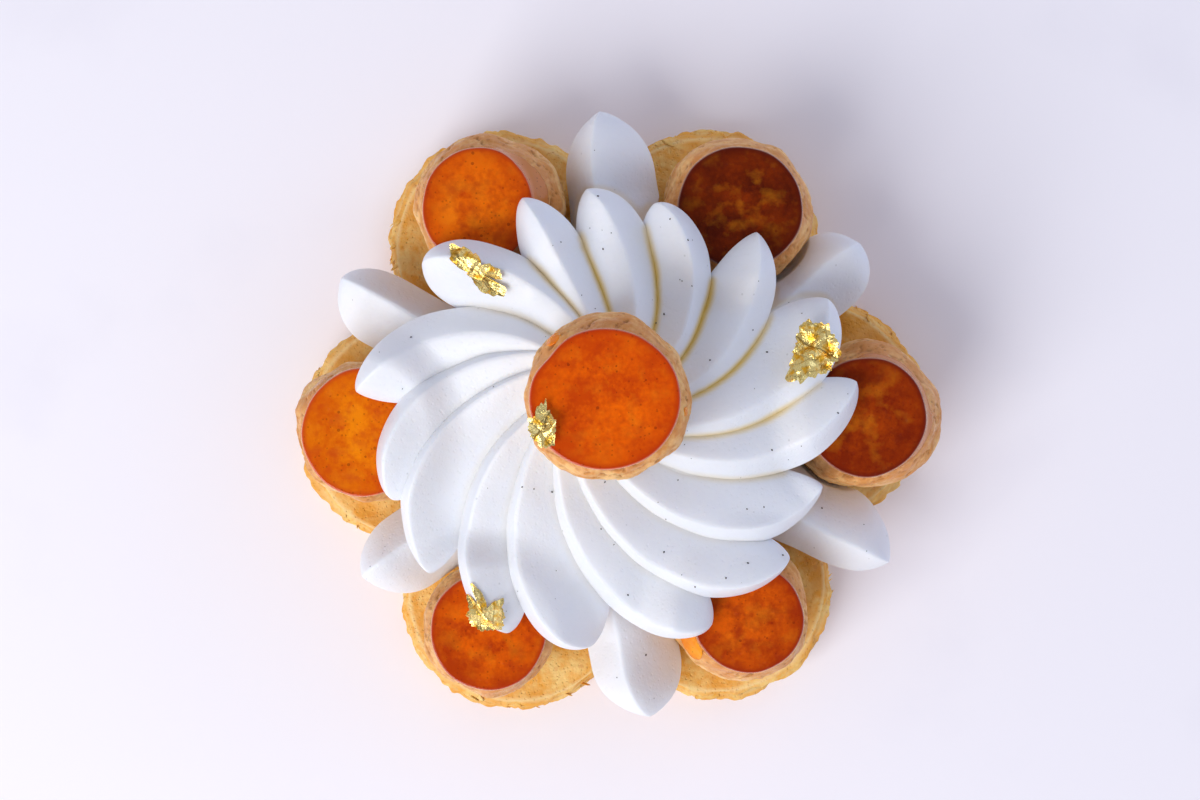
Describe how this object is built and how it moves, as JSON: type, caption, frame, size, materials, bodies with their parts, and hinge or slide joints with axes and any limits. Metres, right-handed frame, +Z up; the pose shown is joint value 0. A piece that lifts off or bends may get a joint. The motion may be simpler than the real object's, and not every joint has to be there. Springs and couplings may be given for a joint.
{
  "type": "saint honore cake",
  "caption": "Round pastry cake: lobed puff base, ring of choux buns with flat caramel tops, piped cream petals turning round a crowning bun, flakes of gold leaf.",
  "frame": {"origin": "middle of the underside of the pastry base's bounding box, where the cake stands", "axes": "+Z up; seen from above with +X to the right and +Y up the picture, the cake lies as in the picture"},
  "size_m": [0.1799, 0.1687, 0.0941],
  "materials": {
    "puff_pastry": "baked, flaky, golden",
    "choux_crust": "baked, finely cracked crust",
    "caramel": "hard glossy amber caramel with tiny bubbles",
    "vanilla_cream": "smooth whipped cream with vanilla seeds",
    "gold_leaf": "crumpled bright gold leaf"
  },
  "bodies": {
    "root": {"puff_base": "puff_pastry", "choux_1": "choux_crust", "choux_2": "choux_crust", "choux_3": "choux_crust", "choux_4": "choux_crust", "choux_5": "choux_crust", "choux_6": "choux_crust", "choux_top": "choux_crust", "caramel_1": "caramel", "caramel_2": "caramel", "caramel_3": "caramel", "caramel_4": "caramel", "caramel_5": "caramel", "caramel_6": "caramel", "caramel_top": "caramel", "cream_petal_1": "vanilla_cream", "cream_petal_2": "vanilla_cream", "cream_petal_3": "vanilla_cream", "cream_petal_4": "vanilla_cream", "cream_petal_5": "vanilla_cream", "cream_petal_6": "vanilla_cream", "cream_rosette": "vanilla_cream", "gold_leaf_1": "gold_leaf", "gold_leaf_2": "gold_leaf", "gold_leaf_3": "gold_leaf", "gold_leaf_4": "gold_leaf"}
  },
  "joints": []
}
